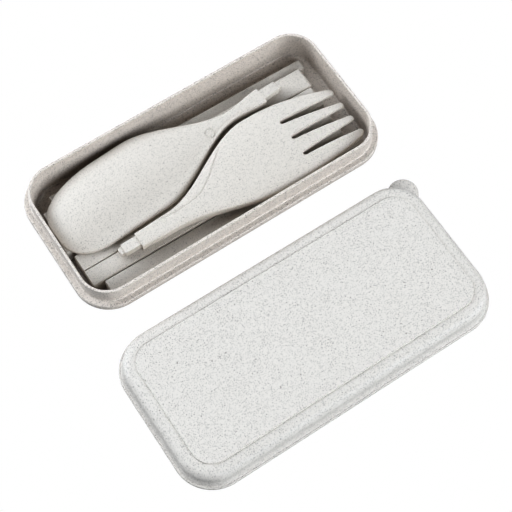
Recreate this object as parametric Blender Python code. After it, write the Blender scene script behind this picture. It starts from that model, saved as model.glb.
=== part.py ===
"""A travel cutlery pack in speckled moulded plastic.

An open tray holds a spoon head and a fork head over a row of six bars: two wide handles, two
narrow chopstick handles and two chopstick tips. The tray's lid lies beside it on its own flange.
Lengths are in metres. The tray's long side runs along X and the lid lies in front of it, at -Y.
"""

import math

import bmesh
import bpy
from mathutils import Matrix, Vector

# Clearances
REST_GAP = 0.0003        # between pieces that rest on or beside each other
PLUG_GAP = 0.0002        # all round a tenon in its socket
LID_CLEARANCE = 0.0003   # between the tray's upper wall and the lid's skirt
LID_HEADROOM = 0.0004    # above the tray's rim under the closed lid

# Spoon head
SPOON_LENGTH = 0.1030
BOWL_WIDTH = 0.0320
BOWL_NOSE = 0.0320       # from the tip to the widest place
BOWL_NOSE_POWER = 3.0    # 2 is an ellipse, more is squarer
NOSE_SET = 0.0014        # how far the tip lies to the near side of the bowl's middle
NOSE_SET_END = 0.0260    # from the tip to where the middle line is straight
BOWL_SHOULDER = 0.0400   # where the bowl starts to draw in
BOWL_END = 0.0800        # where the bowl has drawn in to the neck
BOWL_WALL = 0.0015
BOWL_EDGE = 0.0012       # thickness of the bowl's edge
DOME_POWER = 2.2         # roundness of the bowl's back; more is flatter on top
HOLLOW_POWER = 2.4       # roundness of the hollow under the bowl
HOLLOW_SIDE_POWER = 0.7  # less makes the hollow's sides steeper
DOME_SIDE_POWER = 0.8    # less makes the bowl's sides steeper
NOSE_RISE_POWER = 0.6    # less makes the tip's front steeper
HOLLOW_LEAST_SHARE = 0.2 # of the spoon's width, where it is narrower than its walls
HOLLOW_END = 0.0720      # from the tip to where the hollow has closed
SPOON_NECK_WIDTH = 0.0042
SPOON_TURN = math.radians(3.75)
SPOON_TIP_GAP = 0.0003   # from the tray's end wall
SPOON_WALL_GAP = 0.0057  # from the tray's far wall to the bowl, measured square to the tray

# Fork head
FORK_LENGTH = 0.1033
PALM_WIDTH = 0.0328
FORK_NECK_WIDTH = 0.0070
FLARE_START = 0.0220     # from the nib's end to where the neck starts to widen
FLARE_END = 0.0660       # from the nib's end to where the palm is widest
TAPER_START = 0.0697     # from the nib's end to where the palm starts to narrow
TAPER_POWER = 1.7        # more keeps the palm wide for longer
NECK_SET = 0.0041        # how far the neck lies to the near side of the palm's middle
TIPS_SET = 0.0009        # how far the tips lie to the near side of the palm's middle
PALM_THICKNESS = 0.0022
PALM_WALL_GAP = 0.0004   # from the tray's near wall
FORK_TIP_GAP = 0.0019    # from the tray's end wall
TINES = 4
TINE_LENGTH = 0.0265
SLOT_WIDTH = 0.0017      # at its closed end
SLOT_PITCH = 0.0076
TINE_TIP_WIDTH = 0.0031
TIPS_SPREAD = 0.0228     # across the outer sides of the outer tines' tips
TIP_THICKNESS = 0.0013
TINE_BEND_POWER = 1.6    # more keeps the tines level for longer
PALM_CAMBER = 0.0026     # fall from the palm's middle to its long edges
TIP_CAMBER = 0.0003
PALM_POWER = 2.0         # roundness of the palm's back

# Both heads
NECK_CAMBER = 0.0008     # fall from the neck's middle to its long edges
NECK_POWER = 4.0         # squareness of the neck's section
BLOCK_POWER = 6.0        # squareness of the tenon's and the nib's section
HEAD_RISE = 0.0061       # crown above the bars
COLLAR_WIDTH = 0.0060
COLLAR_HEIGHT = 0.0039
TENON_WIDTH = 0.0040
TENON_HEIGHT = 0.0032
TENON_LENGTH = 0.0070
NIB_WIDTH = 0.0026
NIB_HEIGHT = 0.0018
NIB_LENGTH = 0.0023

# Bars
BAR_HEIGHT = 0.0068
WIDE_BAR_WIDTH = 0.0090
NARROW_BAR_WIDTH = 0.00685
BAR_EDGE_RADIUS = 0.0012
BAR_BUTT_RADIUS = 0.0018
WIDE_BAR_PLAY = 0.0078   # tray's inner length less the wide handle
NARROW_BAR_PLAY = 0.0105
WIDE_BAR_SETS = (0.0011, 0.0005)    # left ends from the tray's end wall
NARROW_BAR_SET = 0.0021
BAR_ROW_GAP = 0.0023     # between the narrow and the wide handles
SOCKET_SPARE = 0.0006    # socket depth beyond the tenon

# Chopstick tips
TIP_WIDTH = 0.0054
TIP_END_WIDTH = 0.0042
TIP_END_RADIUS = 0.0011
TIP_TENON_WIDTH = 0.0032
TIP_TENON_LENGTH = 0.0036
TIP_SET = 0.0064         # collar from the tray's end wall
TIP_PLAY = 0.0098        # tray's inner length less the tip without its tenon
TIP_WALL_GAP = 0.0020    # near tip from the tray's near wall

# Tray
HEAD_END_ROOM = 0.0175   # inner length beyond the longer head
HEAD_SIDE_ROOM = 0.0213  # inner width beyond the wider head
RIM_CLEARANCE = 0.0001   # crown of the heads below the rim
TRAY_WALL = 0.0011
WALL_DRAFT = 0.0003
TRAY_FLOOR = 0.0014
TRAY_CORNER_RADIUS = 0.0115
FLOOR_FILLET = 0.0008
FOOT_RADIUS = 0.0025
UPPER_WALL = 0.0075      # from the ledge up to the rim
LEDGE_OUTSET = 0.0025
LIP_HEIGHT = 0.0026
EDGE_SOFTENING = 0.0003

# Lid
LID_WALL = 0.0013
LID_TOP = 0.0012
FLANGE_OUTSET = 0.0016
FLANGE_THICKNESS = 0.0014
SHOULDER_RADIUS = 0.0030
LID_INNER_FILLET = 0.0012
PANEL_INSET = 0.0067     # from the flange's edge
PANEL_RISE = 0.0004
TAB_RADIUS = 0.0057
TAB_OUTSET = 0.0053      # how far the tab reaches beyond the flange's corner
TAB_TURN = math.radians(39.0)
TAB_BLEND = 0.0040
LID_APART = 0.0107       # clear floor between the tray's lip and the lid's flange
LID_SHIFT = -0.0034      # lid's middle from the tray's middle, along X

# Mesh fineness
CORNER_STEPS = 9
FILLET_STEPS = 3
HEAD_SECTION_STEPS = 15
HEAD_STATIONS = 30
NOSE_STATIONS = 10
TINE_STEPS = 8
BUTT_STEPS = 4

# Places that follow from the sizes
INNER_LENGTH = max(SPOON_LENGTH, FORK_LENGTH) + HEAD_END_ROOM
INNER_WIDTH = max(BOWL_WIDTH, PALM_WIDTH) + HEAD_SIDE_ROOM
BAR_FLOOR = TRAY_FLOOR + REST_GAP
HEAD_FLOOR = BAR_FLOOR + BAR_HEIGHT + REST_GAP
TRAY_HEIGHT = HEAD_FLOOR + HEAD_RISE + RIM_CLEARANCE
RIM_LENGTH = INNER_LENGTH + 2 * (TRAY_WALL + WALL_DRAFT)
RIM_WIDTH = INNER_WIDTH + 2 * (TRAY_WALL + WALL_DRAFT)
SKIRT = LID_CLEARANCE + LID_WALL + FLANGE_OUTSET
LID_LENGTH = RIM_LENGTH + 2 * SKIRT
LID_WIDTH = RIM_WIDTH + 2 * SKIRT
LID_CORNER_RADIUS = TRAY_CORNER_RADIUS + SKIRT
LID_INNER_HEIGHT = UPPER_WALL + LID_HEADROOM
HEAD_END = TENON_LENGTH + NIB_LENGTH

# Colours, roughness
CREAM = (0.74, 0.71, 0.66, 1.0)
PALE = (0.78, 0.77, 0.74, 1.0)
MATTE = 0.55


def clear_scene():
    """Start from an empty scene."""
    for item in list(bpy.data.objects):
        bpy.data.objects.remove(item, do_unlink=True)


def plastic(name, colour):
    """A matte moulded plastic."""
    material = bpy.data.materials.new(name)
    material.use_nodes = True
    shader = material.node_tree.nodes["Principled BSDF"]
    shader.inputs["Base Color"].default_value = colour
    shader.inputs["Roughness"].default_value = MATTE
    shader.inputs["Metallic"].default_value = 0.0
    return material


def smooth(share):
    """Ease from 0 to 1 with level ends."""
    share = min(1.0, max(0.0, share))
    return share * share * (3.0 - 2.0 * share)


def ease(start, end, low, high, place):
    """Ease a value from low to high while place goes from start to end."""
    return low + (high - low) * smooth((place - start) / (end - start))


def rounded_rectangle(length, width, radius, steps):
    """Outline of a rectangle with round corners, anticlockwise, with steps points at each corner."""
    centres = [(1, 1), (-1, 1), (-1, -1), (1, -1)]
    points = []
    for corner, (side_x, side_y) in enumerate(centres):
        centre_x = side_x * (length / 2 - radius)
        centre_y = side_y * (width / 2 - radius)
        for step in range(steps):
            angle = math.pi / 2 * (corner + step / (steps - 1))
            points.append((centre_x + radius * math.cos(angle), centre_y + radius * math.sin(angle)))
    return points


def arc(centre, radius, start, end, steps):
    """Points of an arc in a profile, from the start angle to the end angle in degrees."""
    angles = [math.radians(start + (end - start) * step / steps) for step in range(steps + 1)]
    return [(centre[0] + radius * math.cos(a), centre[1] + radius * math.sin(a)) for a in angles]


def loft(rings):
    """A closed body through rings of points, capped at both ends."""
    mesh = bmesh.new()
    rows = [[mesh.verts.new(point) for point in ring] for ring in rings]
    count = len(rings[0])
    for row, following in zip(rows, rows[1:]):
        for index in range(count):
            after = (index + 1) % count
            mesh.faces.new((row[index], row[after], following[after], following[index]))
    mesh.faces.new(list(reversed(rows[0])))
    mesh.faces.new(rows[-1])
    bmesh.ops.recalc_face_normals(mesh, faces=mesh.faces)
    bmesh.ops.triangulate(mesh, faces=[face for face in mesh.faces if len(face.verts) > 4])
    return mesh


def add_object(name, mesh, material, parent=None, sharp=40.0):
    """Make a smooth-shaded object of a body."""
    data = bpy.data.meshes.new(name)
    mesh.to_mesh(data)
    mesh.free()
    data.shade_smooth()
    data.set_sharp_from_angle(angle=math.radians(sharp))
    data.materials.append(material)
    item = bpy.data.objects.new(name, data)
    bpy.context.scene.collection.objects.link(item)
    item.parent = parent
    return item


def add_empty(name, place):
    """An empty that carries the pieces of one group."""
    empty = bpy.data.objects.new(name, None)
    empty.location = place
    bpy.context.scene.collection.objects.link(empty)
    return empty


def boolean(target, cutter, operation):
    """Join a helper shape to a piece, or cut it away."""
    cutter.hide_render = True
    cutter.display_type = "WIRE"
    modifier = target.modifiers.new(operation.lower(), "BOOLEAN")
    modifier.operation = operation
    modifier.solver = "EXACT"
    modifier.object = cutter


def shell_rings(length, width, radius, profile, steps):
    """Rings of a rounded rectangular moulding; a profile point is an inset and a height."""
    rings = []
    for inset, height in profile:
        outline = rounded_rectangle(length - 2 * inset, width - 2 * inset, radius - inset, steps)
        rings.append([(x, y, height) for x, y in outline])
    return rings


def tray_profile():
    """Tray's wall from the middle of the underside, over the rim, to the floor's edge."""
    soft = EDGE_SOFTENING
    body = WALL_DRAFT
    ledge = TRAY_HEIGHT - UPPER_WALL
    lip_foot = ledge - LIP_HEIGHT
    crown = TRAY_WALL / 2
    inner = TRAY_WALL + WALL_DRAFT
    points = arc((body + FOOT_RADIUS, FOOT_RADIUS), FOOT_RADIUS, 270, 180, 4)
    points += [(body, lip_foot - soft), (body - soft, lip_foot)]
    points += arc((-LEDGE_OUTSET + soft, lip_foot + soft), soft, 270, 180, 2)
    points += arc((-LEDGE_OUTSET + soft * 2, ledge - soft * 2), soft * 2, 180, 90, FILLET_STEPS)
    points += [(-soft * 2, ledge), (0.0, ledge + soft * 2)]
    points += arc((crown, TRAY_HEIGHT - crown), crown, 180, 0, 6)
    points += arc((inner + FLOOR_FILLET, TRAY_FLOOR + FLOOR_FILLET), FLOOR_FILLET, 180, 270, FILLET_STEPS)
    return points


def make_tray(parent):
    """Open tray: inner wall, round rim, ledge and lip, in one moulding."""
    rings = shell_rings(RIM_LENGTH, RIM_WIDTH, TRAY_CORNER_RADIUS, tray_profile(), CORNER_STEPS)
    return add_object("tray", loft(rings), plastic("tray_plastic", CREAM), parent)


def tab_reach():
    """From the corner arc's centre to the lift tab's centre."""
    return LID_CORNER_RADIUS - TAB_RADIUS + TAB_OUTSET


def tab_angles():
    """Where the tab's blend arc lies, and its angles about the corner's centre and the tab's centre."""
    reach = tab_reach()
    outer = LID_CORNER_RADIUS + TAB_BLEND
    near = TAB_RADIUS + TAB_BLEND
    along = (outer ** 2 - near ** 2 + reach ** 2) / (2 * reach)
    across = math.sqrt(outer ** 2 - along ** 2)
    return along, across, math.atan2(across, along), math.atan2(across, reach - along)


def tab_corner(inset):
    """Flange's edge round the corner with the lift tab, anticlockwise about the corner's centre."""
    along, across, spread, lean = tab_angles()
    corner = LID_CORNER_RADIUS - inset
    low = arc((0.0, 0.0), corner, -math.degrees(TAB_TURN), -math.degrees(spread), 2)[:-1]
    blend = arc((along, -across), TAB_BLEND + inset, 180 - math.degrees(spread), math.degrees(lean), 5)
    ear_end = 180 - math.degrees(lean)
    ear = arc((tab_reach(), 0.0), TAB_RADIUS - inset, -ear_end, ear_end, 14)[1:-1]
    rise = [(x, -y) for x, y in reversed(blend)]
    high = arc((0.0, 0.0), corner, math.degrees(spread), 90 - math.degrees(TAB_TURN), 4)[1:]
    turn = Matrix.Rotation(TAB_TURN, 2)
    return [turn @ Vector(point) for point in low + blend + ear + rise + high]


def lid_rings(profile, tabbed):
    """Rings of the lid; one corner has the points of the lift tab, drawn out only where it is asked for."""
    headings = [point.normalized() for point in tab_corner(0.0)]
    rings = []
    for inset, height in profile:
        length = LID_LENGTH - 2 * inset
        width = LID_WIDTH - 2 * inset
        radius = LID_CORNER_RADIUS - inset
        centre = Vector((length / 2 - radius, width / 2 - radius))
        corner = tab_corner(inset) if tabbed else [heading * radius for heading in headings]
        outline = [tuple(centre + point) for point in corner]
        outline += rounded_rectangle(length, width, radius, CORNER_STEPS)[CORNER_STEPS:]
        rings.append([(x, y, height) for x, y in outline])
    return rings


def make_lid(parent):
    """Lid: raised panel, shoulder, skirt, flange and lift tab in one moulding."""
    soft = EDGE_SOFTENING
    top = LID_INNER_HEIGHT + LID_TOP
    inner = FLANGE_OUTSET + LID_WALL
    panel = PANEL_INSET + PANEL_RISE
    outside = [(panel, top + PANEL_RISE), (PANEL_INSET, top)]
    outside += arc((FLANGE_OUTSET + SHOULDER_RADIUS, top - SHOULDER_RADIUS), SHOULDER_RADIUS, 90, 180, 6)
    outside += [(FLANGE_OUTSET, FLANGE_THICKNESS + 2 * soft), (FLANGE_OUTSET - 2 * soft, FLANGE_THICKNESS)]
    edge = arc((2 * soft, FLANGE_THICKNESS - 2 * soft), 2 * soft, 90, 180, 2) + [(0.0, soft), (soft, 0.0)]
    inside = [(inner - soft, 0.0), (inner, soft)]
    inside += arc((inner + LID_INNER_FILLET, LID_INNER_HEIGHT - LID_INNER_FILLET), LID_INNER_FILLET, 180, 90,
                  FILLET_STEPS)
    inside += [(PANEL_INSET, LID_INNER_HEIGHT), (panel, LID_INNER_HEIGHT + PANEL_RISE)]
    rings = lid_rings(outside, False) + lid_rings(edge, True) + lid_rings(inside, False)
    return add_object("lid", loft(rings), plastic("lid_plastic", PALE), parent)


def section(centre, half, bottom_edge, bottom_crown, top_edge, top_crown, power):
    """Ring across a head: a lower line and an upper line, each crowned between its edges.

    The points run from the near edge along the bottom to the far edge and back over the top.
    """
    ring = []
    shares = [-math.cos(math.pi * step / HEAD_SECTION_STEPS) for step in range(HEAD_SECTION_STEPS + 1)]
    for share in shares:
        crown = (1 - abs(share) ** power) ** (1 / power)
        ring.append((centre + half * share, bottom_edge + (bottom_crown - bottom_edge) * crown))
    for share in reversed(shares):
        crown = (1 - abs(share) ** power) ** (1 / power)
        ring.append((centre + half * share, top_edge + (top_crown - top_edge) * crown))
    return ring


def block(centre, half, bottom, top):
    """Ring of a plain bar with the same number of points as a head's section."""
    soft = EDGE_SOFTENING
    return section(centre, half, bottom + soft, bottom, top - soft, top, BLOCK_POWER)


def plug_rings(centre, start, direction):
    """Tenon and nib beyond a collar: places along the head and their rings."""
    middle = HEAD_FLOOR + COLLAR_HEIGHT / 2
    tenon = (TENON_WIDTH / 2, middle - TENON_HEIGHT / 2, middle + TENON_HEIGHT / 2)
    nib = (NIB_WIDTH / 2, middle - NIB_HEIGHT / 2, middle + NIB_HEIGHT / 2)
    soft = EDGE_SOFTENING
    tenon_end = start + direction * TENON_LENGTH
    nib_end = tenon_end + direction * NIB_LENGTH
    places = [(start, tenon), (tenon_end - direction * soft, tenon), (tenon_end, nib),
              (nib_end - direction * soft, nib), (nib_end, nib)]
    rings = []
    for index, (place, (half, bottom, top)) in enumerate(places):
        cut = soft if index == len(places) - 1 else 0.0
        rings.append((place, block(centre, half - cut, bottom + cut, top - cut)))
    return rings


def spoon_half_width(place):
    """Half the spoon's width at a distance from its tip."""
    widest = BOWL_WIDTH / 2
    neck = SPOON_NECK_WIDTH / 2
    collar_start = SPOON_LENGTH - HEAD_END
    if place < BOWL_NOSE:
        back = 1 - place / BOWL_NOSE
        return widest * (1 - back ** BOWL_NOSE_POWER) ** (1 / BOWL_NOSE_POWER)
    drawn = ease(BOWL_SHOULDER, BOWL_END, widest, neck, place)
    return drawn + ease(BOWL_END, collar_start, 0.0, COLLAR_WIDTH / 2 - neck, place)


def spoon_ring(place):
    """The spoon's section: a domed shell over its hollow, closing to a solid neck."""
    half = spoon_half_width(place)
    collar = HEAD_FLOOR + COLLAR_HEIGHT
    crown = HEAD_FLOOR + HEAD_RISE
    nose = 1 - max(0.0, 1 - place / BOWL_NOSE) ** BOWL_NOSE_POWER
    top_crown = HEAD_FLOOR + BOWL_EDGE + (HEAD_RISE - BOWL_EDGE) * nose ** NOSE_RISE_POWER
    if place > BOWL_NOSE:
        top_crown = ease(BOWL_NOSE, BOWL_END, crown, collar, place)
    hollow = max(0.0, top_crown - BOWL_WALL - HEAD_FLOOR)
    hollow *= ease(BOWL_SHOULDER, HOLLOW_END, 1.0, 0.0, place)
    edge = ease(BOWL_SHOULDER, BOWL_END, BOWL_EDGE, COLLAR_HEIGHT - NECK_CAMBER, place)
    middle = ease(0.0, NOSE_SET_END, -NOSE_SET, 0.0, place)
    ring = []
    steps = HEAD_SECTION_STEPS
    shares = [-math.cos(math.pi * step / steps) for step in range(steps + 1)]
    inner = max(half - BOWL_WALL, half * HOLLOW_LEAST_SHARE)
    for index, share in enumerate(shares):
        if index in (0, steps):
            ring.append((middle + half * share, HEAD_FLOOR))
            continue
        spread = -math.cos(math.pi * (index - 1) / (steps - 2))
        rise = (1 - abs(spread) ** HOLLOW_POWER) ** HOLLOW_SIDE_POWER
        ring.append((middle + inner * spread, HEAD_FLOOR + hollow * rise))
    power = ease(BOWL_SHOULDER, BOWL_END, DOME_POWER, NECK_POWER, place)
    for share in reversed(shares):
        rise = (1 - abs(share) ** power) ** DOME_SIDE_POWER
        ring.append((middle + half * share, HEAD_FLOOR + edge + (top_crown - HEAD_FLOOR - edge) * rise))
    return ring


def make_spoon(parent):
    """Spoon head, bowl side down, on the row of bars."""
    collar_end = SPOON_LENGTH - HEAD_END
    places = []
    for step in range(1, NOSE_STATIONS + 1):
        places.append(BOWL_NOSE * (1 - math.cos(math.pi / 2 * step / NOSE_STATIONS)))
    rest = HEAD_STATIONS - NOSE_STATIONS
    places += [BOWL_NOSE + (collar_end - BOWL_NOSE) * step / rest for step in range(1, rest + 1)]
    rings = [(place, spoon_ring(place)) for place in places]
    rings += plug_rings(0.0, collar_end, 1)
    spoon = add_object("spoon_head", loft([[(x, y, z) for y, z in ring] for x, ring in rings]),
                       plastic("spoon_plastic", CREAM), parent)
    spoon.location = (-INNER_LENGTH / 2 + SPOON_TIP_GAP,
                      INNER_WIDTH / 2 - BOWL_WIDTH / 2 - SPOON_WALL_GAP, 0.0)
    spoon.rotation_euler = (0.0, 0.0, SPOON_TURN)
    return spoon


def fork_middle(place):
    """The fork's middle line, measured across the tray, at a distance from the nib's end."""
    palm = -INNER_WIDTH / 2 + PALM_WALL_GAP + PALM_WIDTH / 2
    neck = ease(FLARE_START, FLARE_END, NECK_SET, 0.0, place)
    return palm - neck - ease(FLARE_END, FORK_LENGTH, 0.0, TIPS_SET, place)


def fork_half_width(place):
    """Half the fork's width at a distance from the nib's end."""
    neck = ease(HEAD_END, FLARE_START, COLLAR_WIDTH / 2, FORK_NECK_WIDTH / 2, place)
    wide = neck + ease(FLARE_START, FLARE_END, 0.0, PALM_WIDTH / 2 - FORK_NECK_WIDTH / 2, place)
    share = max(0.0, (place - TAPER_START) / (FORK_LENGTH - TAPER_START))
    return wide - (PALM_WIDTH - TIPS_SPREAD) / 2 * share ** TAPER_POWER


def fork_ring(place):
    """The fork's section: a solid neck opening into a thin crowned palm that bends down to the tips."""
    root = FORK_LENGTH - TINE_LENGTH
    half = fork_half_width(place)
    opened = smooth((place - FLARE_START) / (FLARE_END - FLARE_START))
    bend = min(1.0, max(0.0, (place - root) / TINE_LENGTH))
    drop = (HEAD_RISE - TIP_THICKNESS) * bend ** TINE_BEND_POWER
    top = HEAD_FLOOR + ease(HEAD_END, root, COLLAR_HEIGHT, HEAD_RISE, place) - drop
    camber = ease(FLARE_START, FLARE_END, NECK_CAMBER, PALM_CAMBER, place)
    camber += (TIP_CAMBER - PALM_CAMBER) * bend
    thickness = PALM_THICKNESS + (TIP_THICKNESS - PALM_THICKNESS) * bend
    bottom = HEAD_FLOOR + (top - thickness - HEAD_FLOOR) * opened
    bottom_edge = HEAD_FLOOR + (max(top - camber - thickness, HEAD_FLOOR) - HEAD_FLOOR) * opened
    power = ease(FLARE_START, FLARE_END, NECK_POWER, PALM_POWER, place)
    return section(fork_middle(place), half, bottom_edge, bottom, top - camber, top, power)


def comb_outline():
    """Outline that is cut from the fork's end: slots with round roots between round tips."""
    root = FORK_LENGTH - TINE_LENGTH
    root_half = fork_half_width(root)
    tip_radius = TINE_TIP_WIDTH / 2
    tip_pitch = (TIPS_SPREAD - TINE_TIP_WIDTH) / (TINES - 1)
    far = FORK_LENGTH + TINE_TIP_WIDTH
    side = root_half + 3 * TINE_TIP_WIDTH
    shift = fork_middle(FORK_LENGTH)
    points = [(far, -side), (FORK_LENGTH - tip_radius, -side)]
    for tine in range(TINES):
        tip = (tine - (TINES - 1) / 2) * tip_pitch
        points += arc((FORK_LENGTH - tip_radius, shift + tip), tip_radius, -90, 90, TINE_STEPS)
        if tine < TINES - 1:
            slot = (tine + 0.5 - (TINES - 1) / 2) * SLOT_PITCH + shift
            points += arc((root + SLOT_WIDTH / 2, slot), SLOT_WIDTH / 2, -90, -270, TINE_STEPS)
    points += [(FORK_LENGTH - tip_radius, side), (far, side)]
    return points


def make_comb(parent):
    """Helper that cuts the slots and rounds the tips."""
    outline = comb_outline()
    low = BAR_FLOOR
    high = HEAD_FLOOR + 2 * HEAD_RISE
    rings = [[(x, y, z) for x, y in outline] for z in (low, high)]
    return add_object("comb_helper", loft(rings), plastic("comb_plastic", CREAM), parent)


def make_fork(parent):
    """Fork head, tines bent down, beside the spoon with its neck the other way."""
    rings = plug_rings(fork_middle(0.0), HEAD_END, -1)
    rings.reverse()
    stations = HEAD_STATIONS
    over = FORK_LENGTH + EDGE_SOFTENING
    for step in range(stations + 1):
        place = HEAD_END + (over - HEAD_END) * step / stations
        rings.append((place, fork_ring(place)))
    fork = add_object("fork_head", loft([[(x, y, z) for y, z in ring] for x, ring in rings]),
                      plastic("fork_plastic", CREAM), parent)
    comb = make_comb(parent)
    start = INNER_LENGTH / 2 - FORK_TIP_GAP - FORK_LENGTH
    fork.location.x = start
    comb.location.x = start
    boolean(fork, comb, "DIFFERENCE")
    return fork


def bar_section(place, width, bottom, height, radius):
    """Ring of a bar with soft long edges."""
    outline = rounded_rectangle(width, height, radius, FILLET_STEPS + 1)
    return [(place, y, bottom + height / 2 + z) for y, z in outline]


def butt_rings(length, width, height, butt_radius):
    """Rings that round the far end of a bar."""
    rings = []
    for step in range(BUTT_STEPS + 1):
        angle = math.pi / 2 * step / BUTT_STEPS
        inset = butt_radius * (1 - math.cos(angle))
        place = length - butt_radius + butt_radius * math.sin(angle)
        radius = max(BAR_EDGE_RADIUS - inset, EDGE_SOFTENING)
        rings.append(bar_section(place, width - 2 * inset, inset, height - 2 * inset, radius))
    return rings


def square_end_rings(width, height):
    """Rings of a bar's near end, square with a softened edge."""
    rings = []
    for inset, place in ((EDGE_SOFTENING, 0.0), (0.0, EDGE_SOFTENING)):
        radius = BAR_EDGE_RADIUS - inset
        rings.append(bar_section(place, width - 2 * inset, inset, height - 2 * inset, radius))
    return rings


def handle_rings(length, width, tenon_width, tenon_height, tenon_length):
    """Handle along +X: socket floor, socket mouth, square end, then a round butt."""
    hole_width = tenon_width + 2 * PLUG_GAP
    hole_height = tenon_height + 2 * PLUG_GAP
    lift = (BAR_HEIGHT - hole_height) / 2
    rings = []
    for place in (tenon_length + SOCKET_SPARE, 0.0):
        rings.append(bar_section(place, hole_width, lift, hole_height, EDGE_SOFTENING))
    rings += square_end_rings(width, BAR_HEIGHT)
    return rings + butt_rings(length, width, BAR_HEIGHT, BAR_BUTT_RADIUS)


def make_handle(name, length, width, tenon, place, parent):
    """One handle, lying along the tray with its socket at the left end."""
    handle = add_object(name, loft(handle_rings(length, width, *tenon)), plastic(name + "_plastic", CREAM),
                        parent)
    handle.location = place
    return handle


def tip_rings(length):
    """Chopstick tip along +X: tenon, collar, taper, then a round end. It is flat underneath."""
    soft = 2 * EDGE_SOFTENING
    lift = (TIP_WIDTH - TIP_TENON_WIDTH) / 2
    rings = []
    for place, inset in ((-TIP_TENON_LENGTH, soft), (-TIP_TENON_LENGTH + soft, 0.0), (0.0, 0.0)):
        side = TIP_TENON_WIDTH - 2 * inset
        rings.append(bar_section(place, side, lift + inset, side, EDGE_SOFTENING))
    return rings + square_end_rings(TIP_WIDTH, TIP_WIDTH) + butt_rings(length, TIP_END_WIDTH, TIP_END_WIDTH,
                                                                       TIP_END_RADIUS)


def make_tip(name, beside, side, parent):
    """One chopstick tip whose straight side lies against a bar; side is 1 above it and -1 below it."""
    length = INNER_LENGTH - TIP_PLAY
    turn = math.atan2((TIP_WIDTH - TIP_END_WIDTH) / 2, length)
    tip = add_object(name, loft(tip_rings(length)), plastic(name + "_plastic", CREAM), parent)
    tip.location = (-INNER_LENGTH / 2 + TIP_SET, beside + side * (REST_GAP + TIP_WIDTH / 2), BAR_FLOOR)
    tip.rotation_euler = (0.0, 0.0, -side * turn)
    return tip


def make_bars(parent):
    """The row of six bars on the tray's floor, from the near wall to the far wall."""
    left = -INNER_LENGTH / 2
    plug = (TENON_WIDTH, TENON_HEIGHT, HEAD_END)
    tip_plug = (TIP_TENON_WIDTH, TIP_TENON_WIDTH, TIP_TENON_LENGTH)
    narrow_length = INNER_LENGTH - NARROW_BAR_PLAY
    wide_length = INNER_LENGTH - WIDE_BAR_PLAY
    across = -INNER_WIDTH / 2 + TIP_WALL_GAP + TIP_WIDTH + REST_GAP
    make_tip("chopstick_tip_1", across, -1, parent)
    for number in (1, 2):
        place = (left + NARROW_BAR_SET, across + NARROW_BAR_WIDTH / 2, BAR_FLOOR)
        make_handle(f"chopstick_handle_{number}", narrow_length, NARROW_BAR_WIDTH, tip_plug, place, parent)
        across += NARROW_BAR_WIDTH + REST_GAP
    across += BAR_ROW_GAP - REST_GAP
    for name, end_set in zip(("fork_handle", "spoon_handle"), reversed(WIDE_BAR_SETS)):
        place = (left + end_set, across + WIDE_BAR_WIDTH / 2, BAR_FLOOR)
        make_handle(name, wide_length, WIDE_BAR_WIDTH, plug, place, parent)
        across += WIDE_BAR_WIDTH + REST_GAP
    make_tip("chopstick_tip_2", across - REST_GAP, 1, parent)


def make_pack():
    """Set the tray and the lid side by side about the origin."""
    clear_scene()
    tray_half = (RIM_LENGTH / 2 + LEDGE_OUTSET, RIM_WIDTH / 2 + LEDGE_OUTSET)
    lid_half = (LID_LENGTH / 2, LID_WIDTH / 2)
    total_width = 2 * tray_half[1] + LID_APART + 2 * lid_half[1]
    tab_side = LID_SHIFT + lid_half[0] - LID_CORNER_RADIUS + TAB_RADIUS + tab_reach() * math.cos(TAB_TURN)
    right = max(tray_half[0], tab_side)
    left = min(-tray_half[0], LID_SHIFT - lid_half[0])
    middle = (left + right) / 2
    tray_place = Vector((-middle, total_width / 2 - tray_half[1], 0.0))
    lid_place = Vector((LID_SHIFT - middle, -total_width / 2 + lid_half[1], 0.0))
    tray_group = add_empty("tray_group", tray_place)
    lid_group = add_empty("lid_group", lid_place)
    make_tray(tray_group)
    make_bars(tray_group)
    make_spoon(tray_group)
    make_fork(tray_group)
    make_lid(lid_group)
    bpy.context.view_layer.update()


make_pack()
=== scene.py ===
# %% [markdown]
# # A travel cutlery pack in speckled plastic
# The pack is an open tray with a spoon head, a fork head and six bars in it, and a lid that lies
# beside it. The solid model gives every piece its place. This lesson sets up the camera and the light,
# and then gives each piece its finer shape and its surface.

import math

import bmesh
import bpy
from mathutils import Matrix, Vector


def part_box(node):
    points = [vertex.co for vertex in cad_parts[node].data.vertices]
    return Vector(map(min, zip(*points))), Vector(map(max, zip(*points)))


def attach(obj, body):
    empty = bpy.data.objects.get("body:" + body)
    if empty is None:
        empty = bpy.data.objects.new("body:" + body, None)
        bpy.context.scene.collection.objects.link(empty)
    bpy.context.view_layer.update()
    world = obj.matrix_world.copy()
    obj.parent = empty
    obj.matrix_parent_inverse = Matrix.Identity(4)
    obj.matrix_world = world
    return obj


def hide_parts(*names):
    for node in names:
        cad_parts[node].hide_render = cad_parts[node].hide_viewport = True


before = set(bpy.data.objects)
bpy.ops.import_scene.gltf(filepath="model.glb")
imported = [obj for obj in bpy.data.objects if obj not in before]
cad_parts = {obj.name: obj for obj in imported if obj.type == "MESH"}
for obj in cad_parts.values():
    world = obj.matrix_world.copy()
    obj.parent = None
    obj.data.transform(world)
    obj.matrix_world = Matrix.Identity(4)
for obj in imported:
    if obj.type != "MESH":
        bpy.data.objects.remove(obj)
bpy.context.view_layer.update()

# %% [markdown]
# ## Camera
# The pack is looked at from above the near left, about three quarters of the way up from the horizon. The
# long lens keeps the two boxes nearly parallel. A camera is placed by the point it looks at, its heading,
# its height angle and its distance, because those are what a photographer sets.

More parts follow.
